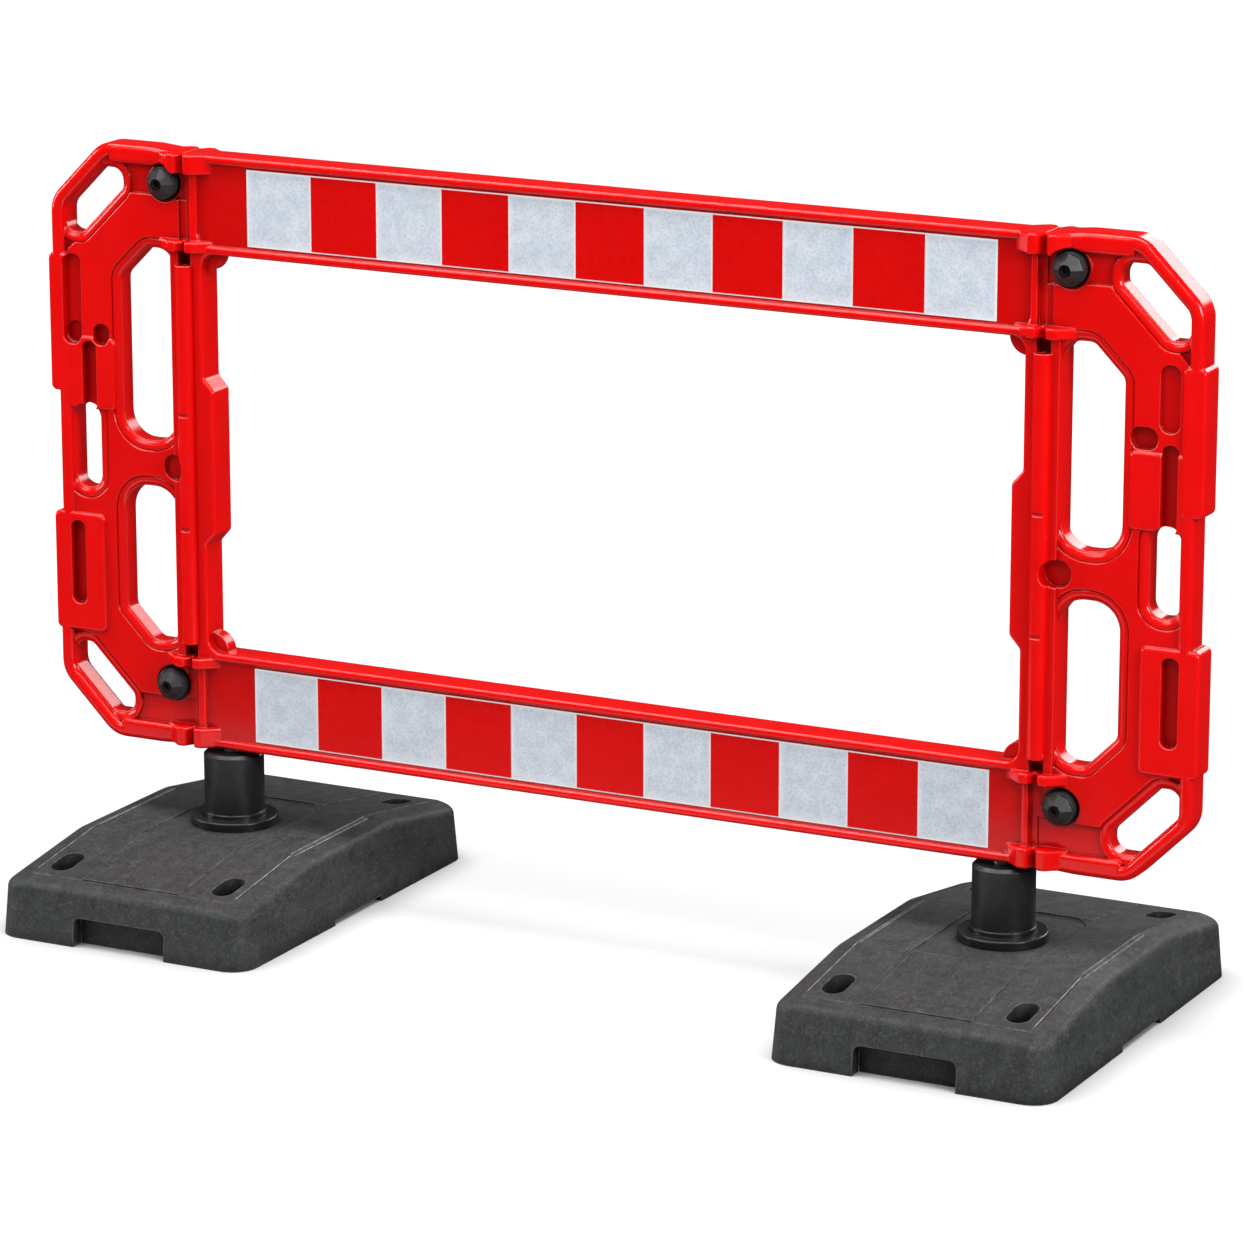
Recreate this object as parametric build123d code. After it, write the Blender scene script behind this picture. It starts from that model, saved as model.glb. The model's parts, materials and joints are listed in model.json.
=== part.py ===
"""Safety barrier: a moulded panel with reflective film on two swivelling pedestals in rubber feet.

X runs along the panel, front is -Y, Z is up and the floor is Z = 0. Millimetres.
"""

import math
import os

from build123d import *

# Panel as a whole
panel_length = 2000.0        # over the grip blocks of both end frames
panel_height = 974.0         # over the two rails
panel_thickness = 54.0
floor_gap = 252.0            # floor to the underside of the bottom rail

# Centre frame, which runs from seam to seam
end_width = 258.0            # end frame from its tip to the seam
rail_height = 160.0
post_width = 31.0
opening_radius = 22.0
tab_reach = 18.0             # how far the side tabs stand into the opening
tab_height = 274.0
tab_drop = 13.0              # tab centre below the middle of the panel
tab_slope = 20.0
tab_radius = 10.0
gusset_radius = 30.0         # round gussets in the corners of the opening
gusset_thickness = 24.0
field_height = 131.0         # sunk field for the film in each rail
field_margin = 24.0          # end of the field to the seam
field_depth = 7.0
field_radius = 20.0
bead_round = 6.0             # rounding of the rail borders

# Reflective film
film_blocks = 11             # odd, so that both ends are white
film_height = 123.0
film_left = 91.0             # end of the sunk field to the film
film_right = 55.0
film_thickness = 1.0
red_film_trim = 2.0          # white left showing above and below a red block
red_film_thickness = 0.5

# End frames: outline and rim
grip_reach = 14.0            # grip blocks stand this far out of the side
corner_step = 6.0            # grip blocks stand this far out of the corners
end_rise = 6.0               # end frame above the top rail
end_drop = 4.0               # end frame below the bottom rail
seam_ramp = 62.0             # the rim comes down to the rail over this length
side_ramp = 60.0             # and the side steps in over this length
ramp_radius = 150.0
corner_cut = 98.0            # cut corners, alike along X and Z
corner_radius = 52.0
rim_width = 23.0
rim_inner_radius = 30.0
rim_round = 10.0
web_thickness = 28.0
plate_thickness = 42.0
plate_round = 3.0
plate_radius = 22.0
plate_inset = 78.0           # edge of the end frame to the plate
plate_overlap = 8.0          # plate runs this far under the rim of the side

# End frames: openings, each with a broad rounded lead-in
edge_thickness = 38.0
edge_width = 16.0
edge_round_in = 12.0
edge_round_out = 3.0
hand_slot_size = 111.0       # square that a hand slot lies in
hand_slot_drop = 41.0        # edge of the end frame to that square
hand_slot_outer_cut = 70.0   # corners cut off the square
hand_slot_inner_cut = 79.0
hand_slot_radius = 20.0
hand_slot_bend = 14.0        # rounding of the blunt corners
window_inset = 26.0          # seam to window
window_width = 100.0
window_cut = 50.0
window_cut_radius = 18.0
window_round = 44.0
window_inner_radius = 32.0
upper_window_start = 11.0    # starts are measured from the middle of the panel
upper_window_drop = 159.0    # drops from the top of the panel
lower_window_start = 64.0
lower_window_rise = 166.0    # rises from the underside of the panel
side_slot_width = 50.0
side_slot_radius = 24.0
side_slot_below = 79.0       # middle of the panel to the ends of the slot
side_slot_above = 61.0

# End frames: grip blocks and pockets
upper_block_start = 79.0
upper_block_drop = 181.0
lower_block_start = 121.0
lower_block_rise = 168.0
block_width = 95.0
block_radius = 10.0
block_round = 6.0
bridge_width = 120.0
bridge_thickness = 50.0
bridge_start = 53.0
bridge_height = 120.0
groove_start = 51.0
groove_width = 27.0
front_groove_inset = 42.0    # insets are measured from the tip of the grip block
front_groove_height = 135.0
back_groove_inset = 60.0
back_groove_height = 115.0
groove_floor = 10.0          # floors are measured from the middle plane
channel_width = 32.0
front_channel_inset = 42.0
front_channel_start = 203.0
back_channel_inset = 27.0
back_channel_start = 158.0
pocket_height = 35.0
pocket_floor = 8.0
front_pocket_width = 44.0
front_pocket_inset = 76.0
front_pocket_start = 175.0
back_pocket_width = 31.0
back_pocket_inset = 80.0
back_pocket_start = 160.0
pocket_rounding = 0.45       # corner radius as a share of the narrow side
slim_pocket_width = 28.0
slim_pocket_inset = 32.0
slim_pocket_start = 134.0
slim_pocket_rise = 213.0
slim_pocket_floor = 12.0
latch_inset = 4.0            # seam to the latch pocket
latch_length = 44.0
latch_height = 43.0
latch_start = 6.0
latch_floor = 13.0
rim_pad_inset = 36.0         # bars on the top and bottom rims, from the seam
rim_pad_length = 104.0
rim_pad_drop = 4.0
rim_pad_height = 28.0
rim_pad_round = 8.0

# Seam between centre frame and end frames
lug_reach = 15.0             # lugs and barrel bead stand this far out of the face
lug_slant = 10.0             # slanted side of a lug, next to the seam
lug_flat = 22.0
lug_ramp = 28.0
lug_round = 4.0
end_lug_height = 32.0
inner_lug_height = 18.0
top_lug_offset = 2.0         # inner lugs to the edge of the rail
low_lug_offset = 10.0
slot_height = 22.0           # open slots next to the inner lugs
slot_half_width = 12.0
slot_depth = 23.0
trough_depth = 10.0
notch_height = 6.0           # gate marks across the barrel bead
notch_depth = 3.0
notch_below = 127.0          # middle of the panel to the gate marks
notch_above = 61.0
tongue_length = 95.0
tongue_height = 90.0
tongue_thickness = 18.0
tongue_clearance = 0.5
bolt_inset = 38.5            # seam to the bolts
top_bolt_drop = 51.0         # top of the panel to the upper bolts
low_bolt_rise = 98.0         # underside of the panel to the lower bolts

# Bolts, washers and cap nuts
bolt_diameter = 14.0
bolt_clearance = 0.5
boss_diameter = 64.0
boss_thickness = 32.0
washer_diameter = 58.0
washer_thickness = 3.0
head_diameter = 52.0
head_height = 12.0
head_round = 1.5
facet_count = 8
facet_diameter = 48.0
facet_height = 14.0
facet_taper = 45.0
socket_diameter = 13.0
socket_depth = 8.0
nut_bore_depth = 16.0
thread_end_gap = 1.0

# Legs
leg_inset = 60.0             # seam to the legs
leg_diameter = 33.7
leg_wall = 3.2
leg_socket_depth = 118.0
leg_clearance = 0.3          # on the radius, in the socket and in the pedestal

# Pedestals and their retaining rings
pedestal_diameter = 98.0
pedestal_wall = 7.0
pedestal_gap = 6.0           # top of the pedestal to the bottom rail
pedestal_chamfer = 5.0
pedestal_cap = 10.0
sleeve_wall = 7.0
sleeve_floor = 8.0
leg_rest_height = 134.0      # floor to the seat of the leg
flange_diameter = 141.0
flange_thickness = 14.0
flange_round = 3.0
turning_gap = 0.3            # under the flange and over the ring, so that the pedestal turns
collar_diameter = 104.0
collar_height = 8.0
collar_round = 2.0
spigot_diameter = 90.0
spigot_wall = 11.0
spigot_clearance = 0.5
spigot_ground_gap = 8.0
spigot_shoulder = 6.0
ring_groove_depth = 4.0
ring_thickness = 5.0
ring_width = 14.0
ring_clearance = 0.3
ring_opening = 50.0          # degrees left open in the ring
ring_seat_height = 24.0      # underside of the foot to the shoulder over the ring
ring_recess_clearance = 6.0

# Rubber feet
foot_width = 462.0
foot_depth = 728.0
foot_height = 126.5
foot_edge_height = 92.0
foot_plateau = 260.0
foot_bend_radius = 160.0
foot_corner_radius = 42.0
foot_draft = 5.0
foot_round = 14.0
foot_border = 47.0
border_drop = 10.0           # the borders slope down to the sides by this much
middle_step = 1.5            # middle of the foot stands this much above its borders
recess_width = 190.0         # sunk field round the flange
recess_reach = 134.0         # middle of the foot to its front and back ends
recess_radius = 40.0
recess_depth = 3.0
strip_step = 2.0
strip_width = 180.0
strip_margin = 42.0
hole_width = 38.0
hole_length = 68.0
hole_spacing_x = 300.0
hole_spacing_y = 540.0
grip_width = 168.0
grip_height = 48.0
grip_depth = 26.0
grip_radius = 12.0
side_notch_length = 150.0
side_notch_height = 9.0
side_notch_depth = 30.0

# Edges nearer to a plane than this lie in it
same_place = 0.01

# Heights and distances that follow from the sizes above
face = panel_thickness / 2
proud = face + lug_reach
panel_top = floor_gap + panel_height
panel_middle = floor_gap + panel_height / 2
rail_middles = [panel_top - rail_height / 2, floor_gap + rail_height / 2]
top_inner = panel_top - rail_height
low_inner = floor_gap + rail_height
tip = panel_length / 2
seam = tip - end_width
side = tip - grip_reach
corner_side = tip - corner_step
end_top = panel_top + end_rise
end_low = floor_gap - end_drop
field_length = 2 * (seam - field_margin)
film_length = field_length - film_left - film_right
film_block = film_length / film_blocks
field_floor = face - field_depth
bolt_x = seam + bolt_inset
bolt_heights = [panel_top - top_bolt_drop, floor_gap + low_bolt_rise]
bolt_seat = boss_thickness / 2
head_seat = bolt_seat + washer_thickness
hole_radius = bolt_diameter / 2 + bolt_clearance
top_lug_low = top_inner + top_lug_offset
low_lug_high = low_inner - low_lug_offset
end_lugs = [(panel_top - end_lug_height, panel_top), (floor_gap, floor_gap + end_lug_height)]
inner_lugs = [
    (top_lug_low, top_lug_low + inner_lug_height),
    (low_lug_high - inner_lug_height, low_lug_high),
]
slots = [(top_lug_low - slot_height, top_lug_low), (low_lug_high, low_lug_high + slot_height)]
troughs = [(inner_lugs[0][1], end_lugs[0][0]), (end_lugs[1][1], inner_lugs[1][0])]
leg_x = seam - leg_inset
leg_bore = leg_diameter / 2 + leg_clearance
upper_window = (panel_middle + upper_window_start, panel_top - upper_window_drop)
lower_window = (floor_gap + lower_window_rise, panel_middle - lower_window_start)
side_slot = (panel_middle - side_slot_below, panel_middle + side_slot_above)
upper_block = (panel_middle + upper_block_start, panel_top - upper_block_drop)
lower_block = (floor_gap + lower_block_rise, panel_middle - lower_block_start)
slim_pocket = (floor_gap + slim_pocket_rise, panel_middle - slim_pocket_start)
foot_middle = foot_height + middle_step
foot_seat = foot_middle - recess_depth
ring_top = ring_seat_height - turning_gap
ring_inner = spigot_diameter / 2 - ring_groove_depth + ring_clearance
ring_outer = ring_inner + ring_width


def block(x_span, y_span, z_span):
    """Box between three pairs of limits."""
    spans = (x_span, y_span, z_span)
    return Pos(*[(a + b) / 2 for a, b in spans]) * Box(*[b - a for a, b in spans])


def outline(points, radii):
    """Closed outline with one rounding for each corner."""
    return make_face(FilletPolyline(*points, radius=radii, close=True))


def slab(sketch, thickness):
    """Sketch in X and Z, made into a slab centred on the middle plane of the panel."""
    return extrude(Plane.XZ * sketch, amount=thickness / 2, both=True)


def rounded_rectangle(x_span, z_span, radius):
    """Rounded rectangle between two pairs of limits, in X and Z."""
    middle = Pos((x_span[0] + x_span[1]) / 2, (z_span[0] + z_span[1]) / 2)
    return middle * RectangleRounded(x_span[1] - x_span[0], z_span[1] - z_span[0], radius)


def from_middle(start, height):
    """Height span that starts this far above the middle of the panel."""
    return (panel_middle + start, panel_middle + start + height)


def rod(radius, y_span, x, z):
    """Cylinder square to the panel."""
    middle = Pos(x, (y_span[0] + y_span[1]) / 2, z)
    return middle * Rot(90, 0, 0) * Cylinder(radius, y_span[1] - y_span[0])


def upright(radius, z_span, x):
    """Upright cylinder in the middle plane of the panel."""
    return Pos(x, 0, (z_span[0] + z_span[1]) / 2) * Cylinder(radius, z_span[1] - z_span[0])


def face_edges(solid, height):
    """Edges on the front or back at this distance from the middle plane, the seam left out."""
    level = [e for e in solid.edges() if abs(abs(e.center().Y) - height) < same_place]
    return [e for e in level if abs(abs(e.center().X) - seam) > same_place]


def both_faces(solids):
    """The solids and their mirror images on the back."""
    return [s for solid in solids for s in (solid, mirror(solid, about=Plane.XZ))]


def both_ends(solids):
    """The solids and their mirror images at the other end of the panel."""
    return [s for solid in solids for s in (solid, mirror(solid, about=Plane.YZ))]


def sunk(sketch, floor):
    """Cuts from both faces down to a floor at this distance from the middle plane."""
    return slab(sketch, 2 * proud) - slab(sketch, 2 * floor)


# Centre frame


def opening_outline():
    """Opening of the centre frame with a tab standing in from each post."""
    x = seam - post_width
    x_tab = x - tab_reach
    tab_low = panel_middle - tab_drop - tab_height / 2
    tab_high = tab_low + tab_height
    right = [
        (x, low_inner),
        (x, tab_low),
        (x_tab, tab_low + tab_slope),
        (x_tab, tab_high - tab_slope),
        (x, tab_high),
        (x, top_inner),
    ]
    radii = [opening_radius, tab_radius, tab_radius, tab_radius, tab_radius, opening_radius]
    left = [(-px, pz) for px, pz in reversed(right)]
    return outline(right + left, radii + radii)


def lug_half(z_span, direction):
    """Half of a lug on the front face, from the seam to the end of its ramp."""
    root = face - slot_depth
    x_slant = seam + direction * lug_slant
    x_flat = seam + direction * lug_flat
    x_end = x_flat + direction * lug_ramp
    points = [
        (seam, -root),
        (seam, -face),
        (x_slant, -proud),
        (x_flat, -proud),
        (x_end, -field_floor),
        (x_end, -root),
    ]
    plan = Pos(0, 0, z_span[0]) * make_face(Polyline(*points, close=True))
    lug = extrude(plan, amount=z_span[1] - z_span[0])
    outer = [e for e in lug.edges() if e.center().Y < -face and abs(e.center().X - seam) > same_place]
    return fillet(outer, lug_round)


def seam_cuts():
    """Open slots and shallower troughs along one seam."""
    x_span = (seam - slot_half_width, seam + slot_half_width)
    deep = [block(x_span, (-proud, slot_depth - face), z) for z in slots]
    shallow = [block(x_span, (-proud, trough_depth - face), z) for z in troughs]
    return both_faces(deep + shallow)


def tongues(clearance):
    """The two tongues at one end, or the room for them."""
    half = tongue_thickness / 2 + clearance
    rise = tongue_height / 2 + clearance
    x_span = (seam - bead_round, seam + tongue_length + clearance)
    return [block(x_span, (-half, half), (z - rise, z + rise)) for z in rail_middles]


def bolt_holes():
    """Holes for the two bolts of one end."""
    return [rod(hole_radius, (-proud, proud), bolt_x, z) for z in bolt_heights]


def make_centre_frame():
    """Rails and posts in one moulding, with sunk fields, tongues and sockets for the legs."""
    frame = slab(Pos(0, panel_middle) * Rectangle(2 * seam, panel_height), panel_thickness)
    frame -= slab(opening_outline(), panel_thickness)
    for z in rail_middles:
        field = Pos(0, z) * RectangleRounded(field_length, field_height, field_radius)
        frame -= sunk(field, field_floor)
    frame = fillet(face_edges(frame, face), bead_round)
    gusset_y = (-gusset_thickness / 2, gusset_thickness / 2)
    x = seam - post_width
    frame += both_ends([rod(gusset_radius, gusset_y, x, z) for z in (low_inner, top_inner)])
    frame += both_ends(both_faces([lug_half(span, -1) for span in end_lugs + inner_lugs]))
    frame -= both_ends(seam_cuts())
    frame += both_ends(tongues(0))
    frame -= both_ends(bolt_holes())
    socket = upright(leg_bore, (floor_gap, floor_gap + leg_socket_depth), leg_x)
    return frame - both_ends([socket])


# End frames


def corner_points(inset, side_inset, edge, rail, up):
    """One corner of an end frame from the side to the seam, moved in from the edge."""
    x_bend = corner_side - corner_cut - inset * (math.sqrt(2) - 1)
    drop = corner_cut + inset * math.sqrt(2) - side_inset
    return [
        (corner_side - side_inset, edge - up * drop),
        (x_bend, edge - up * inset),
        (seam + seam_ramp, edge - up * inset),
        (seam, rail - up * inset),
    ]


def end_outline(inset, side_inset, radius):
    """Outline of an end frame, moved in from the edge; its side steps in behind the grip blocks."""
    upper = corner_points(inset, side_inset, end_top, panel_top, 1)
    lower = corner_points(inset, side_inset, end_low, floor_gap, -1)
    x_corner = corner_side - side_inset
    x_side = side - side_inset
    z_low = (lower_block[0] + lower_block[1] - side_ramp) / 2
    z_high = (upper_block[0] + upper_block[1] + side_ramp) / 2
    steps = [
        (x_corner, z_low),
        (x_side, z_low + side_ramp),
        (x_side, z_high - side_ramp),
        (x_corner, z_high),
    ]
    radii = [ramp_radius, ramp_radius, radius, radius, ramp_radius, 0]
    return outline(lower[::-1] + steps + upper, radii[::-1] + radii)


def window_outline(z_flat, z_cut):
    """Window, rounded at one end and with a cut corner at the other."""
    x_in = seam + window_inset
    x_out = x_in + window_width
    z_start = z_cut - math.copysign(window_cut, z_cut - z_flat)
    points = [(x_in, z_flat), (x_out, z_flat), (x_out, z_start), (x_out - window_cut, z_cut), (x_in, z_cut)]
    radii = [window_round, window_round, window_cut_radius, window_cut_radius, window_inner_radius]
    return outline(points, radii)


def hand_slot(edge, up):
    """Hand slot along a cut corner: a square with two opposite corners cut off."""
    x_out = corner_side - rim_width
    x_in = x_out - hand_slot_size
    z_out = edge - up * hand_slot_drop
    z_in = z_out - up * hand_slot_size
    points = [
        (x_in, z_in + up * hand_slot_inner_cut),
        (x_in, z_out),
        (x_out - hand_slot_outer_cut, z_out),
        (x_out, z_out - up * hand_slot_outer_cut),
        (x_out, z_in),
        (x_in + hand_slot_inner_cut, z_in),
    ]
    half = [hand_slot_bend, hand_slot_radius, hand_slot_bend]
    return outline(points, half + half)


def end_openings():
    """All openings through an end frame."""
    upper = window_outline(*upper_window)
    lower = window_outline(*reversed(lower_window))
    x_out = side - rim_width
    slot = rounded_rectangle((x_out - side_slot_width, x_out), side_slot, side_slot_radius)
    return [upper, lower, slot, hand_slot(end_top, 1), hand_slot(end_low, -1)]


def lead_in(opening):
    """Edge of an opening: a band a little below the plate that rounds off into the opening."""
    ring = slab(offset(opening, edge_width), edge_thickness)
    ring = fillet(face_edges(ring, edge_thickness / 2), edge_round_out)
    ring -= slab(opening, edge_thickness)
    crests = ring.faces().filter_by(Axis.Y)
    inside = [e for f in crests for w in f.inner_wires() for e in w.edges()]
    return fillet(inside, edge_round_in)


def rounded_slab(sketch, thickness, radius):
    """Slab with its front and back edges rounded."""
    solid = slab(sketch, thickness)
    return fillet(face_edges(solid, thickness / 2), radius)


def grip_blocks():
    """Blocks that stand out of the side of an end frame, and the bridge behind the upper one."""
    upper = rounded_rectangle((side - rim_width, tip), upper_block, block_radius)
    lower = rounded_rectangle((tip - block_width, tip), lower_block, block_radius)
    bridge_z = from_middle(bridge_start, bridge_height)
    bridge = rounded_rectangle((tip - bridge_width, side), bridge_z, block_radius)
    return [
        rounded_slab(upper, panel_thickness, block_round),
        rounded_slab(lower, panel_thickness, block_round),
        rounded_slab(bridge, bridge_thickness, block_round),
    ]


def pocket(inset, width, z_span, floor):
    """Pocket in the front face, placed from the tip of the grip block."""
    x_span = (tip - inset - width, tip - inset)
    radius = pocket_rounding * min(width, z_span[1] - z_span[0])
    shape = rounded_rectangle(x_span, z_span, radius)
    return extrude(Plane.XZ.offset(floor) * shape, amount=proud - floor)


def front_pockets():
    """Groove, channel and pocket next to the upper grip block, front face."""
    groove_z = from_middle(groove_start, front_groove_height)
    pocket_z = from_middle(front_pocket_start, pocket_height)
    channel_z = (panel_middle + front_channel_start, upper_block[1])
    return [
        pocket(front_groove_inset, groove_width, groove_z, groove_floor),
        pocket(front_channel_inset, channel_width, channel_z, web_thickness / 2),
        pocket(front_pocket_inset, front_pocket_width, pocket_z, pocket_floor),
    ]


def back_pockets():
    """The same on the back face, where they stand a little differently."""
    groove_z = from_middle(groove_start, back_groove_height)
    pocket_z = from_middle(back_pocket_start, pocket_height)
    channel_z = (panel_middle + back_channel_start, upper_block[1])
    shapes = [
        pocket(back_groove_inset, groove_width, groove_z, groove_floor),
        pocket(back_channel_inset, channel_width, channel_z, web_thickness / 2),
        pocket(back_channel_inset, channel_width, pocket_z, pocket_floor),
        pocket(back_pocket_inset, back_pocket_width, pocket_z, pocket_floor),
    ]
    return [mirror(shape, about=Plane.XZ) for shape in shapes]


def shared_pockets():
    """Pockets that are alike on both faces: in the lower grip block and next to the seam."""
    slim = pocket(slim_pocket_inset, slim_pocket_width, slim_pocket, slim_pocket_floor)
    latch_z = from_middle(-latch_start - latch_height, latch_height)
    latch = pocket(end_width - latch_inset - latch_length, latch_length, latch_z, latch_floor)
    return both_faces([slim, latch])


def seam_bar():
    """Bar along the seam with the half-round bead on both faces."""
    bar = block((seam, seam + window_inset), (-face, face), (slots[1][0], slots[0][1]))
    bead_span = (slots[1][1], slots[0][0])
    bead = upright(lug_reach, bead_span, seam).moved(Pos(0, -face, 0))
    bead -= block((seam - proud, seam + proud), (-face, 0), bead_span)
    for start in (-notch_below, notch_above):
        z_span = from_middle(start, notch_height)
        bead -= block((seam - proud, seam + proud), (-proud, notch_depth - proud), z_span)
    return [bar] + both_faces([bead])


def rim_pads():
    """Rounded bars on the top and bottom rims."""
    x_start = seam + rim_pad_inset
    x_span = (x_start, x_start + rim_pad_length)
    spans = [
        (end_top - rim_pad_drop - rim_pad_height, end_top - rim_pad_drop),
        (end_low + rim_pad_drop, end_low + rim_pad_drop + rim_pad_height),
    ]
    pads = [rounded_rectangle(x_span, z, rim_pad_round) for z in spans]
    return [rounded_slab(pad, panel_thickness, rim_pad_round) for pad in pads]


def make_end_frame():
    """End frame of the right-hand end; the same moulding turned half round fits the other end."""
    openings = end_openings()
    edge = end_outline(0, 0, corner_radius)
    frame = slab(edge, web_thickness)
    rim = edge - end_outline(rim_width, rim_width, rim_inner_radius)
    frame += rounded_slab(rim, panel_thickness, rim_round)
    plate = end_outline(plate_inset, rim_width - plate_overlap, plate_radius)
    for opening in openings:
        plate -= offset(opening, edge_width)
    frame += rounded_slab(plate, plate_thickness, plate_round)
    for raised in grip_blocks() + rim_pads():
        frame += raised
    frame -= [slab(opening, panel_thickness) for opening in openings]
    frame += [lead_in(opening) for opening in openings]
    frame += seam_bar()
    frame += both_faces([lug_half(span, 1) for span in end_lugs + inner_lugs])
    frame += [rod(boss_diameter / 2, (-bolt_seat, bolt_seat), bolt_x, z) for z in bolt_heights]
    recesses = [rod(boss_diameter / 2, (-proud, -bolt_seat), bolt_x, z) for z in bolt_heights]
    frame -= both_faces(recesses)
    frame -= front_pockets() + back_pockets() + shared_pockets() + seam_cuts()
    frame -= tongues(tongue_clearance) + bolt_holes()
    return frame


# Reflective film


def make_film(rail_middle, back):
    """White strip and the red blocks over it, for one face of one rail."""
    z_span = (rail_middle - film_height / 2, rail_middle + film_height / 2)
    start = film_left - field_length / 2
    level = field_floor + film_thickness
    white = block((start, start + film_length), (-level, -field_floor), z_span)
    red_z = (z_span[0] + red_film_trim, z_span[1] - red_film_trim)
    red_y = (-level - red_film_thickness, -level)
    starts = [start + i * film_block for i in range(1, film_blocks, 2)]
    red = [block((x, x + film_block), red_y, red_z) for x in starts]
    if back:
        white = mirror(white, about=Plane.XZ)
        red = [mirror(r, about=Plane.XZ) for r in red]
    return white, Compound(red)


# Bolts


def faceted_head():
    """Black head with a faceted nose, standing on its seat."""
    base = Cylinder(head_diameter / 2, head_height, align=(Align.CENTER, Align.CENTER, Align.MIN))
    base = fillet(base.edges().group_by(Axis.Z)[-1], head_round)
    nose = RegularPolygon(facet_diameter / 2, facet_count)
    return base + extrude(Pos(0, 0, head_height) * nose, amount=facet_height, taper=facet_taper)


def make_bolt():
    """Bolt standing on its head seat, shank pointing down."""
    shank = 2 * head_seat + nut_bore_depth - thread_end_gap
    top = head_height + facet_height
    socket = RegularPolygon(socket_diameter / 2, 6)
    bolt = faceted_head() - extrude(Pos(0, 0, top) * socket, amount=-socket_depth)
    return bolt + Pos(0, 0, -shank / 2) * Cylinder(bolt_diameter / 2, shank)


def make_nut():
    """Cap nut with the same outside as the bolt head."""
    return faceted_head() - Pos(0, 0, nut_bore_depth / 2) * Cylinder(bolt_diameter / 2, nut_bore_depth)


def at_bolts(solid, on_back):
    """The solid at every bolt, its axis square to the panel."""
    turn = Rot(-90, 0, 0) if on_back else Rot(90, 0, 0)
    y = head_seat if on_back else -head_seat
    return [Pos(x, y, z) * turn * solid for x in (-bolt_x, bolt_x) for z in bolt_heights]


def make_washers():
    """Washers under all heads and nuts."""
    ring = Circle(washer_diameter / 2) - Circle(hole_radius)
    washer = extrude(ring, amount=-washer_thickness)
    return Compound(at_bolts(washer, False) + at_bolts(washer, True))


# Legs, pedestals and rings


def make_leg():
    """Steel tube from the seat in the pedestal to the end of its socket in the bottom rail."""
    span = (leg_rest_height, floor_gap + leg_socket_depth)
    return upright(leg_diameter / 2, span, 0) - upright(leg_diameter / 2 - leg_wall, span, 0)


def make_pedestal():
    """Turned section of a pedestal: hollow post with a sleeve for the leg, flange and spigot."""
    top = floor_gap - pedestal_gap
    seat = foot_seat + turning_gap
    post = pedestal_diameter / 2
    spigot = spigot_diameter / 2
    groove = (ring_top - ring_thickness - ring_clearance, ring_top + ring_clearance)
    collar_low = seat + flange_thickness
    collar_high = collar_low + collar_height
    corners = [
        (spigot - spigot_wall, spigot_ground_gap, 0),
        (spigot, spigot_ground_gap, 0),
        (spigot, groove[0], 0),
        (spigot - ring_groove_depth, groove[0], 0),
        (spigot - ring_groove_depth, groove[1], 0),
        (spigot, groove[1], 0),
        (spigot, seat, 0),
        (flange_diameter / 2, seat, 0),
        (flange_diameter / 2, collar_low, flange_round),
        (collar_diameter / 2, collar_low, 0),
        (collar_diameter / 2, collar_high, collar_round),
        (post, collar_high, 0),
        (post, top - pedestal_chamfer, 0),
        (post - pedestal_chamfer, top, 0),
        (leg_bore, top, 0),
        (leg_bore, leg_rest_height, 0),
        (0, leg_rest_height, 0),
        (0, leg_rest_height - sleeve_floor, 0),
        (leg_bore + sleeve_wall, leg_rest_height - sleeve_floor, 0),
        (leg_bore + sleeve_wall, top - pedestal_cap, 0),
        (post - pedestal_wall, top - pedestal_cap, 0),
        (post - pedestal_wall, seat + spigot_shoulder, 0),
        (spigot - spigot_wall, seat + spigot_shoulder, 0),
    ]
    section = outline([(r, z) for r, z, rounding in corners], [rounding for r, z, rounding in corners])
    return revolve(Plane.XZ * section, axis=Axis.Z)


def make_retaining_ring():
    """Open ring in the groove of the spigot, under the shoulder of the foot."""
    reach = 2 * ring_outer
    half = math.radians(ring_opening / 2)
    mouth = [(0, 0), (reach, -reach * math.tan(half)), (reach, reach * math.tan(half))]
    ring = Circle(ring_outer) - Circle(ring_inner) - make_face(Polyline(*mouth, close=True))
    return extrude(Pos(0, 0, ring_top) * ring, amount=-ring_thickness)


# Feet


def foot_profile(step):
    """Side view of a foot in Y and Z, raised by a step."""
    half = foot_depth / 2
    bend = foot_plateau / 2
    points = [
        (-half, 0),
        (-half, foot_edge_height + step),
        (-bend, foot_height + step),
        (bend, foot_height + step),
        (half, foot_edge_height + step),
        (half, 0),
    ]
    return outline(points, [0, 0, foot_bend_radius, foot_bend_radius, 0, 0])


def foot_slice(step, half_width):
    """Middle part of a foot, this wide to both sides."""
    return extrude(Plane.YZ * foot_profile(step), amount=half_width, both=True)


def raised_top():
    """Middle of the foot and the strips down its slopes."""
    reach = foot_depth / 2 - strip_margin
    middle = foot_slice(middle_step, foot_width / 2 - foot_border)
    middle &= block((-foot_width, foot_width), (-reach, reach), (foot_edge_height, foot_middle))
    strips = foot_slice(middle_step + strip_step, strip_width / 2)
    slope = (-reach, -foot_plateau / 2)
    strips &= block((-foot_width, foot_width), slope, (foot_edge_height, 2 * foot_height))
    return [middle] + both_faces([strips])


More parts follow.
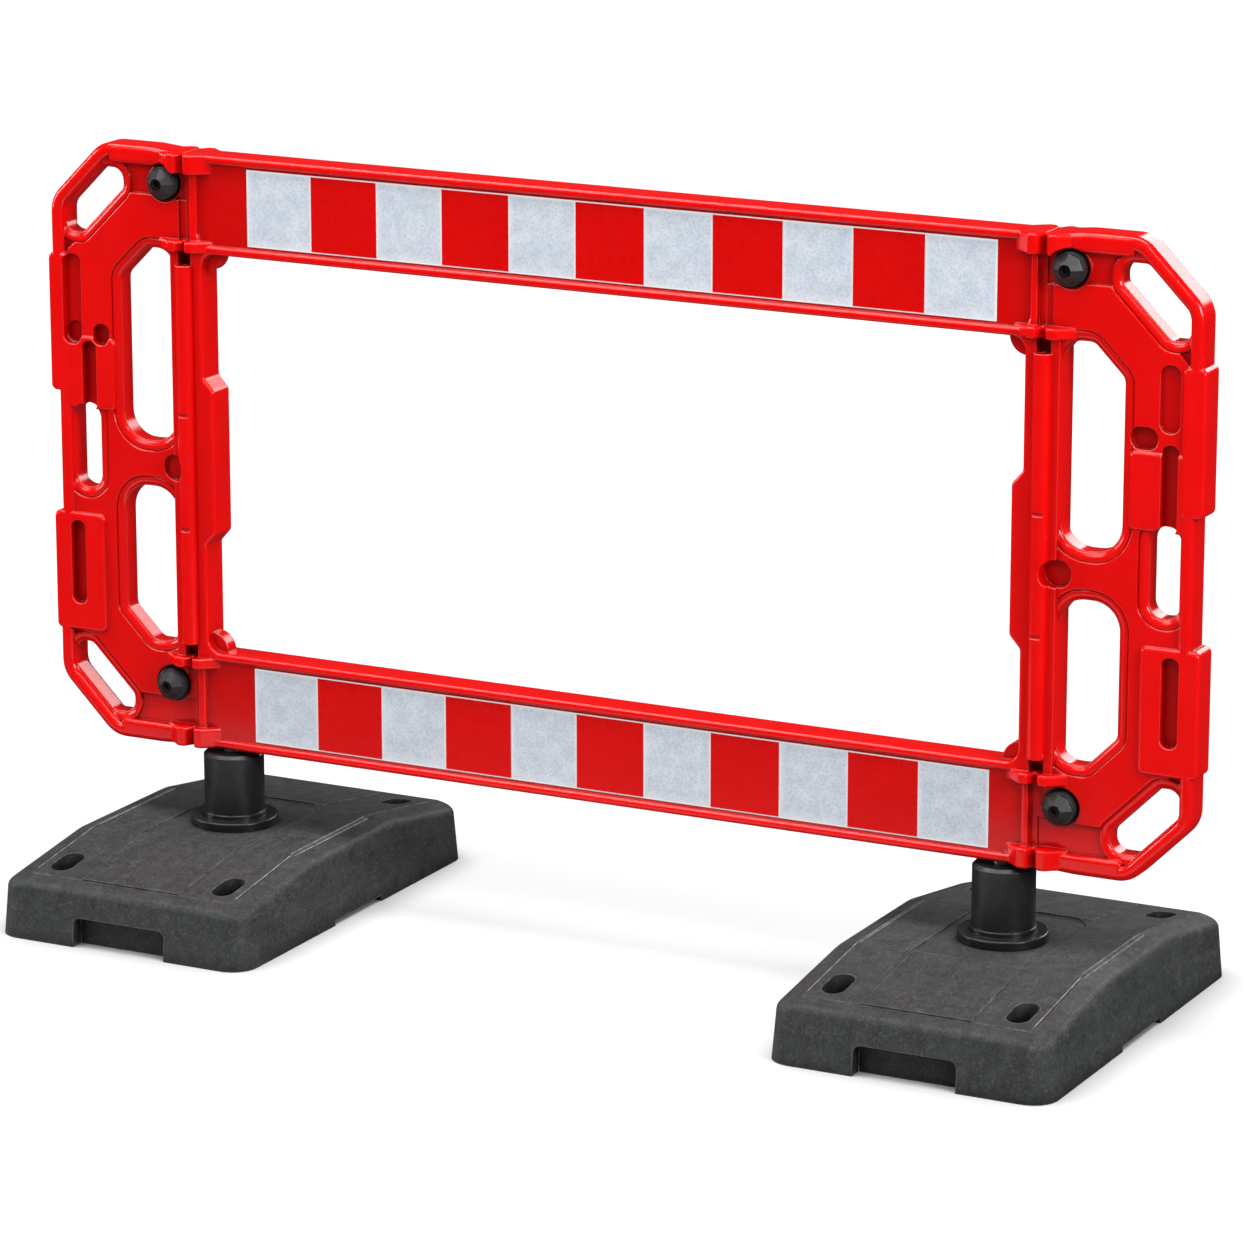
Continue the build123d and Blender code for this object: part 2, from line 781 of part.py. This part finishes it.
def foot_cuts():
    """Holes, grip notches, side notches and the seat of the pedestal."""
    bore = spigot_diameter / 2 + spigot_clearance
    ring_room = ring_outer + ring_recess_clearance
    hole = extrude(Rot(0, 0, 90) * SlotOverall(hole_length, hole_width), amount=2 * foot_height, both=True)
    holes = GridLocations(hole_spacing_x, hole_spacing_y, 2, 2) * hole
    half = recess_width / 2
    recess = outline(
        [(-half, -recess_reach), (half, -recess_reach), (half, recess_reach), (-half, recess_reach)],
        [0, 0, recess_radius, recess_radius],
    )
    recess = extrude(Pos(0, 0, foot_seat) * recess, amount=foot_height)
    grip = outline(
        [(-grip_width / 2, -grip_height), (grip_width / 2, -grip_height),
         (grip_width / 2, grip_height), (-grip_width / 2, grip_height)],
        [0, 0, grip_radius, grip_radius],
    )
    inner = foot_depth / 2 - grip_depth
    grip = extrude(Plane.XZ.offset(inner) * grip, amount=foot_depth)
    notch = block(
        (foot_width / 2 - side_notch_depth, foot_width),
        (-side_notch_length / 2, side_notch_length / 2),
        (-side_notch_height, side_notch_height),
    )
    seat = [upright(bore, (-foot_height, 2 * foot_height), 0)]
    seat.append(upright(ring_room, (-ring_seat_height, ring_seat_height), 0))
    return [recess] + seat + holes + both_faces([grip]) + both_ends([notch])


def upper_edges(foot):
    """Upper edges of a foot, without the lines in its top where the borders begin."""
    inner = foot_width / 2 - foot_border
    lowest = foot_edge_height - border_drop - foot_round
    upper = [e for e in foot.edges() if e.center().Z > lowest]
    return [e for e in upper if abs(abs(e.center().X) - inner) > same_place]


def make_foot():
    """Rubber foot with sloping ends, holes, grip notches and the seat of the pedestal."""
    plan = RectangleRounded(foot_width, foot_depth, foot_corner_radius)
    inner = foot_width / 2 - foot_border
    edge = Plane.YZ.offset(inner) * foot_profile(0)
    border = loft([edge, Plane.YZ.offset(foot_width / 2) * foot_profile(-border_drop)], ruled=True)
    foot = foot_slice(0, inner) + both_ends([border])
    foot &= extrude(plan, amount=foot_height, taper=foot_draft)
    foot = fillet(upper_edges(foot), foot_round)
    return foot + raised_top() - foot_cuts()


right_end_frame = make_end_frame()
pedestal = make_pedestal()
ring = make_retaining_ring()
foot = make_foot()
leg = make_leg()
nodes = {
    "centre_frame": make_centre_frame(),
    "right_end_frame": right_end_frame,
    "left_end_frame": Rot(0, 0, 180) * right_end_frame,
    "corner_bolts": Compound(at_bolts(make_bolt(), False)),
    "corner_nuts": Compound(at_bolts(make_nut(), True)),
    "corner_washers": make_washers(),
}
for rail, middle in zip(("top", "bottom"), rail_middles):
    for view, back in (("front", False), ("back", True)):
        white, red = make_film(middle, back)
        nodes[f"{rail}_{view}_white_film"] = white
        nodes[f"{rail}_{view}_red_film"] = red
for end, x in (("left", -leg_x), ("right", leg_x)):
    nodes[f"{end}_leg"] = Pos(x, 0, 0) * leg
    nodes[f"{end}_pedestal"] = Pos(x, 0, 0) * pedestal
    nodes[f"{end}_retaining_ring"] = Pos(x, 0, 0) * ring
    nodes[f"{end}_foot"] = Pos(x, 0, 0) * foot

os.makedirs("parts", exist_ok=True)
for name, solid in nodes.items():
    export_step(solid, f"parts/{name}.step")
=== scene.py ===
"""Looks of the safety barrier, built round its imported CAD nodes.

Sizes are in metres, the floor is at Z = 0 and the front is -Y.
"""

import json
import math

import bmesh
import bpy
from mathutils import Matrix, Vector
from mathutils.bvhtree import BVHTree


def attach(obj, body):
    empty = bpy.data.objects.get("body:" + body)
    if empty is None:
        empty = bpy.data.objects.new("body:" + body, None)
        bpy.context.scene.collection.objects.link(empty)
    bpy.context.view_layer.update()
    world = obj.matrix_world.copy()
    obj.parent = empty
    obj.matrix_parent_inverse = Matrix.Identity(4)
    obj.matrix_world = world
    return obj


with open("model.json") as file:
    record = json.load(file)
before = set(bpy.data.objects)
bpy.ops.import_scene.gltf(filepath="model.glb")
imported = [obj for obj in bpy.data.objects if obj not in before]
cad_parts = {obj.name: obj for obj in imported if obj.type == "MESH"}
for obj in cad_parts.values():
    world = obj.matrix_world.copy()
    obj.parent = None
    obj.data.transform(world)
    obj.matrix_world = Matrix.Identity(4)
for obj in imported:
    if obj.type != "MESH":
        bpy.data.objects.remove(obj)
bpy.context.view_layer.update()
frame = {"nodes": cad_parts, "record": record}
nodes = frame["nodes"]
scene = bpy.context.scene


# Material helpers

BLACK = (0, 0, 0)
WHITE = (1, 1, 1)
BEVEL_SAMPLES = 6
HOLLOW_SAMPLES = 8
UP_SHIFT = 0.5       # added to the Z of a normal, because a ramp starts at zero
DEPTH_SPAN = 0.05    # distance from the middle plane that a depth ramp runs over
FILM_BLOCKS = 11     # blocks along a film strip


def grey_tone(level):
    return (level,) * 3


class Shader:
    """One material with a Principled shader and helpers for procedural textures."""

    def __init__(self, name):
        self.mat = bpy.data.materials.new(name)
        self.mat.use_nodes = True
        self.tree = self.mat.node_tree
        self.bsdf = self.tree.nodes["Principled BSDF"]
        self.coords = self.tree.nodes.new("ShaderNodeTexCoord")

    def link(self, a, b):
        self.tree.links.new(a, b)

    def feed(self, source, socket):
        """Link a socket to another one, or give it a constant."""
        if isinstance(source, bpy.types.NodeSocket):
            self.link(source, socket)
        else:
            socket.default_value = source

    def set(self, name, source):
        self.feed(source, self.bsdf.inputs[name])

    def node(self, kind, **inputs):
        n = self.tree.nodes.new(kind)
        for key, value in inputs.items():
            n.inputs[key.replace("_", " ")].default_value = value
        return n

    def mapped(self, scale, offset=(0, 0, 0), space="Object"):
        m = self.node("ShaderNodeMapping", Scale=scale, Location=offset)
        self.link(self.coords.outputs[space], m.inputs["Vector"])
        return m.outputs["Vector"]

    def noise(self, scale, detail=4.0, roughness=0.55, stretch=(1, 1, 1)):
        n = self.node("ShaderNodeTexNoise", Scale=scale, Detail=detail, Roughness=roughness)
        self.link(self.mapped(stretch), n.inputs["Vector"])
        return n.outputs["Fac"]

    def cells(self, scale):
        n = self.node("ShaderNodeTexVoronoi", Scale=scale)
        self.link(self.mapped((1, 1, 1)), n.inputs["Vector"])
        return n.outputs["Distance"]

    def patch(self, scale, offset=(0, 0, 0)):
        """Mask that falls from white in the middle of an ellipsoid to black at its edge."""
        n = self.node("ShaderNodeTexGradient")
        n.gradient_type = "SPHERICAL"
        self.link(self.mapped(scale, offset), n.inputs["Vector"])
        return n.outputs["Fac"]

    def ramp(self, fac, *stops):
        r = self.tree.nodes.new("ShaderNodeValToRGB")
        elements = r.color_ramp.elements
        while len(elements) < len(stops):
            elements.new(0.5)
        for element, (position, color) in zip(elements, stops):
            element.position = position
            element.color = (*color, 1.0)
        self.link(fac, r.inputs["Fac"])
        return r.outputs["Color"]

    def grey(self, fac, low, high, start=0.3, end=0.7):
        return self.ramp(fac, (start, grey_tone(low)), (end, grey_tone(high)))

    def mix(self, fac, a, b, kind="MIX"):
        m = self.tree.nodes.new("ShaderNodeMix")
        m.data_type = "RGBA"
        m.blend_type = kind
        colors = [socket for socket in m.inputs if socket.type == "RGBA"]
        self.feed(fac, m.inputs[0])
        self.feed(a, colors[0])
        self.feed(b, colors[1])
        return next(socket for socket in m.outputs if socket.type == "RGBA")

    def times(self, a, b):
        return self.mix(1.0, a, b, "MULTIPLY")

    def rounded(self, radius):
        """Normal that rounds the edges of the mesh off."""
        b = self.node("ShaderNodeBevel", Radius=radius)
        b.samples = BEVEL_SAMPLES
        return b.outputs["Normal"]

    def edges(self, radius, start=0.995, full=0.90):
        """Mask that is white on outer and inner edges of the mesh."""
        dot = self.tree.nodes.new("ShaderNodeVectorMath")
        dot.operation = "DOT_PRODUCT"
        self.link(self.rounded(radius), dot.inputs[0])
        geometry = self.tree.nodes.new("ShaderNodeNewGeometry")
        self.link(geometry.outputs["Normal"], dot.inputs[1])
        return self.ramp(dot.outputs["Value"], (full, WHITE), (start, BLACK))

    def hollows(self, distance, low, dark=0.25, light=0.95):
        """Mask that goes from white in the open to a low grey in hollows."""
        n = self.node("ShaderNodeAmbientOcclusion", Distance=distance)
        n.samples = HOLLOW_SAMPLES
        return self.grey(n.outputs["AO"], low, 1.0, dark, light)

    def ridges(self, radius):
        """Mask of the outer edges, strongest on those that face up, for a painted highlight."""
        outer = self.times(
            self.edges(radius, start=0.97, full=0.80),
            self.hollows(1.5 * radius, low=0.0, dark=0.60, light=0.85),
        )
        up = self.ramp(
            self.axis(self.rounded(radius), "Z", "ADD", UP_SHIFT),
            (0.42, BLACK), (0.52, grey_tone(0.25)), (0.90, WHITE),
        )
        return self.times(outer, up)

    def axis(self, source, axis, operation, other=0.0):
        """One coordinate of a vector, put through a maths operation."""
        split = self.node("ShaderNodeSeparateXYZ")
        self.link(source, split.inputs["Vector"])
        maths = self.node("ShaderNodeMath")
        maths.operation = operation
        self.link(split.outputs[axis], maths.inputs[0])
        maths.inputs[1].default_value = other
        return maths.outputs["Value"]

    def depth(self, *stops):
        """Grey by the distance from the middle plane of the panel, used for painted shade on
        sunk faces.
        """
        away = self.axis(self.mapped((1, 1 / DEPTH_SPAN, 1)), "Y", "ABSOLUTE")
        return self.ramp(away, *((y / DEPTH_SPAN, grey_tone(level)) for y, level in stops))

    def film_rim(self):
        """Mask that is white on a thin rim round each block of a film strip."""
        place = self.mapped((FILM_BLOCKS, 1, 1), space="Generated")
        soft = grey_tone(0.35)
        ends = self.ramp(
            self.axis(place, "X", "FRACT"),
            (0.012, WHITE), (0.025, soft), (0.09, BLACK),
            (0.96, BLACK), (0.975, soft), (0.985, WHITE),
        )
        edges = self.ramp(
            self.axis(place, "Z", "FRACT"),
            (0.010, WHITE), (0.025, soft), (0.13, BLACK),
            (0.95, BLACK), (0.975, soft), (0.985, WHITE),
        )
        return self.mix(1.0, ends, edges, "LIGHTEN")

    def bump(self, height, strength, distance, after):
        """Bumps on top of a normal."""
        b = self.node("ShaderNodeBump", Strength=strength, Distance=distance)
        self.link(height, b.inputs["Height"])
        self.link(after, b.inputs["Normal"])
        return b.outputs["Normal"]


# Materials

RED_EDGE = 0.003       # reach of the painted highlight on the outer edges of the red mouldings
RED_ROUNDING = 0.0025
RED_HOLLOW = 0.035     # reach of the painted shade in the hollows of the red mouldings
HEAD_ROUNDING = 0.0008
POST_ROUNDING = 0.0012
# POST_HOLLOW is the reach of the painted shade in the hollows of the posts
POST_HOLLOW = 0.15
FOOT_EDGE = 0.003      # reach of the lighter edges of the feet, partly wear and partly painted highlight
FOOT_ROUNDING = 0.0015
# FOOT_HOLLOW is the reach of the painted shade in the holes and hollows of the feet
FOOT_HOLLOW = 0.05


def red_plastic():
    s = Shader("red_plastic")
    red = s.ramp(
        s.noise(9.0, detail=3.0),
        (0.25, (0.78, 0.0008, 0.0008)), (0.75, (0.86, 0.0014, 0.0014)),
    )
    # painted shade: faces sunk below the front of the panel are darker by their depth, the
    # floor of the sunk fields most
    painted_depth_shade = s.depth(
        (0.012, 0.88), (0.0192, 0.95), (0.0196, 0.76),
        (0.0203, 0.76), (0.0207, 0.93), (0.0270, 1.0),
    )
    red = s.times(red, painted_depth_shade)
    # painted shade in the hollows of the red mouldings
    red = s.times(red, s.hollows(RED_HOLLOW, low=0.40))
    # painted highlight: outer edges that face up are mixed towards a pale pink
    s.set("Base Color", s.mix(s.ridges(RED_EDGE), red, (1.0, 0.20, 0.17, 1.0)))
    s.set("Roughness", s.grey(s.noise(30.0), 0.15, 0.20))
    grain = s.noise(650.0, detail=2.0)
    s.set("Normal", s.bump(grain, 0.03, 0.0005, after=s.rounded(RED_ROUNDING)))
    s.set("IOR", 1.5)
    return s.mat


def white_film():
    s = Shader("white_film")
    ground = s.ramp(
        s.noise(38.0, detail=3.0),
        (0.35, (0.575, 0.63, 0.705)), (0.65, (0.675, 0.725, 0.795)),
    )
    beads = s.ramp(s.cells(240.0), (0.10, (0.77, 0.80, 0.85)), (0.60, WHITE))
    film = s.times(ground, beads)
    s.set("Base Color", s.mix(s.film_rim(), film, (0.84, 0.86, 0.88, 1.0)))
    s.set("Roughness", s.grey(s.noise(60.0), 0.40, 0.55))
    s.set("Specular IOR Level", 0.3)
    return s.mat


def red_film():
    s = Shader("red_film")
    s.set("Base Color", s.ramp(
        s.noise(14.0), (0.3, (0.66, 0.0003, 0.0003)), (0.7, (0.71, 0.0006, 0.0006)),
    ))
    s.set("Roughness", s.grey(s.noise(60.0), 0.24, 0.30))
    s.set("Specular IOR Level", 0.2)
    return s.mat


def black_plastic():
    s = Shader("black_plastic")
    s.set("Base Color", s.ramp(
        s.noise(80.0), (0.3, (0.020, 0.020, 0.021)), (0.7, (0.028, 0.028, 0.029)),
    ))
    s.set("Roughness", s.grey(s.noise(90.0), 0.40, 0.48))
    s.set("Specular IOR Level", 0.35)
    s.set("Normal", s.rounded(HEAD_ROUNDING))
    return s.mat


def black_post():
    s = Shader("black_post")
    black = s.ramp(
        s.noise(60.0), (0.3, (0.020, 0.020, 0.0205)), (0.7, (0.028, 0.028, 0.0285)),
    )
    # painted shade in the hollows of the posts
    shade = s.hollows(POST_HOLLOW, low=0.10, dark=0.35)
    s.set("Base Color", s.times(black, shade))
    s.set("Roughness", s.grey(s.noise(120.0), 0.28, 0.36))
    s.set("Specular IOR Level", 0.4)
    grain = s.noise(900.0, detail=2.0)
    s.set("Normal", s.bump(grain, 0.10, 0.0005, after=s.rounded(POST_ROUNDING)))
    return s.mat


def metal(name, low, high, rough_low, rough_high):
    s = Shader(name)
    s.set("Base Color", s.ramp(s.noise(70.0), (0.3, low), (0.7, high)))
    s.set("Roughness", s.grey(s.noise(110.0), rough_low, rough_high))
    s.set("Metallic", 1.0)
    return s.mat


def foot_rubber():
    s = Shader("foot_rubber")
    mottle = s.ramp(
        s.noise(34.0, detail=8.0, roughness=0.72),
        (0.30, (0.0285, 0.0302, 0.0306)), (0.70, (0.057, 0.0603, 0.061)),
    )
    smears = s.noise(24.0, detail=6.0, roughness=0.6, stretch=(3.0, 0.4, 1.0))
    ground = s.times(mottle, s.grey(smears, 0.82, 1.10))
    specks = s.grey(s.noise(230.0, detail=5.0, roughness=0.75), 0.0, 0.50, start=0.52, end=0.66)
    ground = s.mix(specks, ground, (0.12, 0.12, 0.12, 1.0))
    scuffs = s.ramp(
        s.noise(26.0, detail=3.0, stretch=(1.0, 0.35, 1.0)),
        (0.490, BLACK), (0.500, grey_tone(0.25)), (0.510, BLACK),
    )
    ground = s.mix(scuffs, ground, (0.14, 0.14, 0.14, 1.0))
    # painted shade in the holes and hollows of the feet
    ground = s.times(ground, s.hollows(FOOT_HOLLOW, low=0.12, dark=0.30, light=0.85))
    # lighter edges in patches: partly wear and partly painted highlight
    patches = s.grey(s.noise(55.0, detail=5.0), 0.10, 0.75, start=0.35)
    wear_and_highlight = s.times(s.edges(FOOT_EDGE), patches)
    s.set("Base Color", s.mix(wear_and_highlight, ground, (0.22, 0.22, 0.22, 1.0)))
    s.set("Roughness", s.grey(s.noise(70.0), 0.46, 0.62))
    s.set("Specular IOR Level", 0.18)
    grain = s.noise(420.0, detail=6.0, roughness=0.75)
    s.set("Normal", s.bump(grain, 0.35, 0.0010, after=s.rounded(FOOT_ROUNDING)))
    return s.mat


def worn_rubber():
    # lighter grey rubber; on the mould lines of the feet its light tone is partly wear and
    # partly a painted highlight
    s = Shader("worn_rubber")
    s.set("Base Color", s.grey(s.noise(55.0, detail=5.0), 0.10, 0.30, start=0.35, end=0.65))
    s.set("Roughness", s.grey(s.noise(70.0), 0.46, 0.62))
    s.set("Specular IOR Level", 0.25)
    return s.mat


made = {
    "red_plastic": red_plastic(),
    "white_film": white_film(),
    "red_film": red_film(),
    "black_plastic": black_plastic(),
    "black_post": black_post(),
    "black_steel": metal("black_steel", grey_tone(0.02), grey_tone(0.04), 0.35, 0.5),
    "galvanised_steel": metal(
        "galvanised_steel", (0.42, 0.43, 0.44), (0.58, 0.59, 0.60), 0.35, 0.5,
    ),
    "spring_steel": metal("spring_steel", (0.16, 0.16, 0.17), (0.24, 0.24, 0.25), 0.3, 0.45),
    "foot_rubber": foot_rubber(),
    "worn_rubber": worn_rubber(),
}
for part in frame["record"]["subparts"]:
    obj = nodes[part["node"]]
    obj.data.materials.clear()
    obj.data.materials.append(made[part["material_slot"]])


def piece_from(shape, name, material):
    """Visible object made from a bmesh, which is freed."""
    bmesh.ops.recalc_face_normals(shape, faces=shape.faces)
    mesh = bpy.data.meshes.new(name)
    shape.to_mesh(mesh)
    shape.free()
    mesh.materials.append(made[material])
    piece = bpy.data.objects.new(name, mesh)
    scene.collection.objects.link(piece)
    return piece


# Dark rings on the corner bolts, painted shade for the recess round each socket

HEAD_RADIUS = 0.026
SOCKET_RADIUS = 0.0060
RIM_RADIUS = 0.0096
RIM_HEIGHT = 0.0006
RIM_SIDES = 48


def socket_shade_ring(name, x, front, z):
    """Flat dark ring that stands on the nose of a bolt head at the given front, painted shade
    for the recess round the socket.
    """
    profile = [
        (SOCKET_RADIUS, 0.0),
        (SOCKET_RADIUS, RIM_HEIGHT),
        (RIM_RADIUS - RIM_HEIGHT / 2, RIM_HEIGHT),
        (RIM_RADIUS, RIM_HEIGHT / 2),
        (RIM_RADIUS, 0.0),
    ]
    turned = bmesh.new()
    sections = []
    for step in range(RIM_SIDES):
        turn = 2 * math.pi * step / RIM_SIDES
        sections.append([
            turned.verts.new((x + r * math.cos(turn), front - height, z + r * math.sin(turn)))
            for r, height in profile
        ])
    for here, after in zip(sections, sections[1:] + sections[:1]):
        for i in range(len(profile)):
            j = (i + 1) % len(profile)
            turned.faces.new((here[i], here[j], after[j], after[i]))
    ring = piece_from(turned, name, "black_steel")
    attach(ring, "panel")


bolts = nodes["corner_bolts"].bound_box
low = [min(corner[i] for corner in bolts) for i in range(3)]
high = [max(corner[i] for corner in bolts) for i in range(3)]
for side, x in (("left", low[0] + HEAD_RADIUS), ("right", high[0] - HEAD_RADIUS)):
    for level, z in (("lower", low[2] + HEAD_RADIUS), ("upper", high[2] - HEAD_RADIUS)):
        socket_shade_ring(f"{side}_{level}_socket_shade_ring", x, low[1], z)


# Fine mould lines along the borders of the feet

BORDER_LINE = 0.184      # middle of a foot to its border lines
LINE_PAIR = 0.0035       # half the distance between the two lines on the flat top
LINE_WIDTH = 0.0011      # half width
LINE_HEIGHT = 0.0008
LINE_ROOT = 0.0004       # depth of the roots of a line under the surface
LINE_STEP = 0.008
FLAT_TOP = (-0.128, 0.106)          # Y at the two ends of a line
FRONT_SLOPE = (-0.305, -0.136)
ABOVE = 1.0              # height from which the top of a foot is sought


def mould_lines(node, body):
    """Thin ridges laid on the top of a foot."""
    foot = nodes[node].data
    surface = BVHTree.FromPolygons(
        [v.co for v in foot.vertices], [p.vertices for p in foot.polygons],
    )
    xs = [v.co.x for v in foot.vertices]
    middle = (min(xs) + max(xs)) / 2
    lines = []
    for border in (middle - BORDER_LINE, middle + BORDER_LINE):
        lines += [
            (border - LINE_PAIR, *FLAT_TOP),
            (border + LINE_PAIR, *FLAT_TOP),
            (border, *FRONT_SLOPE),
        ]
    drawn = bmesh.new()
    for x, start, end in lines:
        steps = round((end - start) / LINE_STEP)
        rows = []
        for step in range(steps + 1):
            y = start + (end - start) * step / steps
            z = surface.ray_cast(Vector((x, y, ABOVE)), Vector((0, 0, -1)))[0].z
            rows.append([
                drawn.verts.new((x - LINE_WIDTH, y, z - LINE_ROOT)),
                drawn.verts.new((x, y, z + LINE_HEIGHT)),
                drawn.verts.new((x + LINE_WIDTH, y, z - LINE_ROOT)),
            ])
        for here, after in zip(rows, rows[1:]):
            for i, j in ((0, 1), (1, 2), (2, 0)):
                drawn.faces.new((here[i], here[j], after[j], after[i]))
        drawn.faces.new(rows[0])
        drawn.faces.new(rows[-1])
    # the light tone of the lines is partly wear and partly a painted highlight on their crests
    piece = piece_from(drawn, f"{node}_mould_lines", "worn_rubber")
    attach(piece, body)


for foot_name in ("left_foot", "right_foot"):
    mould_lines(foot_name, foot_name)


# Stage, light and camera

FLOOR_SIZE = 120.0
FLOOR_TONES = (0.35, 0.36)
GLOW_REACH = 6.0                 # the floor turns from lit to plain white over this distance
GLOW_FAR, GLOW_NEAR = 0.85, 0.58
CONTACT_REACH = 0.10             # reach of the painted contact shadow, where the glow of the floor is dimmed round the feet
SHEEN_MIDDLE = (-0.25, -0.62)    # middle of a patch of floor that glows for gloss only, a painted highlight in the round posts
SHEEN_REACH = (1.60, 0.38)       # half length and half depth of that patch
SHEEN_OUT, SHEEN_IN = 0.03, 1.0

WORLD_LEVEL = 0.40               # light on the object from all round
BACKDROP_LEVEL = 1.0             # what the camera sees
DIM_LEVEL = 0.05                 # what gloss reflects
LAMPS = (
    # name, place, aim, size, power in watts
    ("key", (-3.0, -4.5, 5.5), (0, 0, 0.6), (2.5, 2.5), 110),
    ("top", (-0.8, -0.7, 5.0), (-0.8, -0.1, 0.6), (6.5, 1.6), 240),
    ("fill", (6.0, -2.0, 3.0), (0, 0, 0.6), (1.5, 2.5), 250),
    ("rim", (1.5, 5.0, 3.0), (0.5, 0, 0.1), (4.0, 1.5), 110),
    ("side", (-6.0, -1.8, 1.8), (0, 0, 0.7), (0.8, 2.6), 110),
    ("crown", (2.9, -4.0, 4.9), (0, 0, 0.7), (0.8, 0.8), 35),
)

CAMERA_AIM = Vector((0.0371, 0.0, 0.5374))
CAMERA_DISTANCE = 8.807
CAMERA_AZIMUTH = math.radians(27.22)
CAMERA_ELEVATION = math.radians(14.63)
LENS_MM = 162.35
SENSOR_MM = 36.0
CLIP_END = 200.0


def by_ray(tree, ray, plain, special):
    """One shader for most rays and another for one kind of ray."""
    path = tree.nodes.new("ShaderNodeLightPath")
    mix = tree.nodes.new("ShaderNodeMixShader")
    tree.links.new(path.outputs[ray], mix.inputs["Fac"])
    tree.links.new(plain, mix.inputs[1])
    tree.links.new(special, mix.inputs[2])
    return mix.outputs["Shader"]


def make_floor():
    """White floor for the camera that keeps the shadow, with a painted contact shadow round the
    feet and a patch that glows for gloss, a painted highlight in the round posts.
    """
    bpy.ops.mesh.primitive_plane_add(size=FLOOR_SIZE, location=(0, 0, 0))
    floor = bpy.context.object
    floor.name = "floor"
    s = Shader("floor")
    s.set("Base Color", s.grey(s.noise(0.8, detail=2.0), *FLOOR_TONES))
    s.set("Roughness", 0.9)
    s.set("Specular IOR Level", 0.0)
    near = s.patch((1 / GLOW_REACH,) * 3)
    white = s.grey(near, GLOW_FAR, GLOW_NEAR, start=0.2, end=0.8)
    # painted contact shadow: the glow seen by the camera is dimmed by ambient occlusion round
    # the feet
    painted_contact_shadow = s.hollows(CONTACT_REACH, low=0.0, light=0.85)
    glow = s.node("ShaderNodeEmission")
    s.link(s.times(white, painted_contact_shadow), glow.inputs["Strength"])
    lit = s.tree.nodes.new("ShaderNodeAddShader")
    s.link(s.bsdf.outputs["BSDF"], lit.inputs[0])
    s.link(glow.outputs["Emission"], lit.inputs[1])
    # painted highlight: a patch of floor glows for gloss rays only and shows as a bright band
    # in the round posts
    scale = [1 / reach for reach in SHEEN_REACH]
    offset = [-middle * share for middle, share in zip(SHEEN_MIDDLE, scale)]
    between = s.patch((*scale, 1), (*offset, 0))
    painted_sheen_glow = s.node("ShaderNodeEmission")
    s.link(s.grey(between, SHEEN_OUT, SHEEN_IN, start=0.0, end=0.25), painted_sheen_glow.inputs["Strength"])
    seen = by_ray(s.tree, "Is Camera Ray", s.bsdf.outputs["BSDF"], lit.outputs["Shader"])
    seen = by_ray(s.tree, "Is Glossy Ray", seen, painted_sheen_glow.outputs["Emission"])
    s.link(seen, s.tree.nodes["Material Output"].inputs["Surface"])
    floor.data.materials.append(s.mat)


def make_world():
    world = bpy.data.worlds.new("studio")
    scene.world = world
    world.use_nodes = True
    tree = world.node_tree
    plain = tree.nodes["Background"]
    backdrop = tree.nodes.new("ShaderNodeBackground")
    dim = tree.nodes.new("ShaderNodeBackground")
    for shader, level in ((plain, WORLD_LEVEL), (backdrop, BACKDROP_LEVEL), (dim, DIM_LEVEL)):
        shader.inputs["Color"].default_value = (*WHITE, 1.0)
        shader.inputs["Strength"].default_value = level
    seen = by_ray(
        tree, "Is Camera Ray", plain.outputs["Background"], backdrop.outputs["Background"],
    )
    seen = by_ray(tree, "Is Glossy Ray", seen, dim.outputs["Background"])
    tree.links.new(seen, tree.nodes["World Output"].inputs["Surface"])


def area_light(name, place, aim, size, power):
    data = bpy.data.lights.new(name, "AREA")
    data.shape = "RECTANGLE"
    data.size, data.size_y = size
    data.energy = power
    lamp = bpy.data.objects.new(name, data)
    scene.collection.objects.link(lamp)
    lamp.location = place
    lamp.rotation_euler = (Vector(aim) - Vector(place)).to_track_quat("-Z", "Y").to_euler()


def make_camera():
    data = bpy.data.cameras.new("photo_camera")
    data.sensor_width = SENSOR_MM
    data.lens = LENS_MM
    data.clip_end = CLIP_END
    camera = bpy.data.objects.new("photo_camera", data)
    scene.collection.objects.link(camera)
    away = Vector((
        math.sin(CAMERA_AZIMUTH) * math.cos(CAMERA_ELEVATION),
        -math.cos(CAMERA_AZIMUTH) * math.cos(CAMERA_ELEVATION),
        math.sin(CAMERA_ELEVATION),
    ))
    camera.location = CAMERA_AIM + CAMERA_DISTANCE * away
    camera.rotation_euler = (-away).to_track_quat("-Z", "Y").to_euler()
    scene.camera = camera


make_floor()
make_world()
for lamp_row in LAMPS:
    area_light(*lamp_row)
make_camera()
scene.view_settings.view_transform = "Standard"
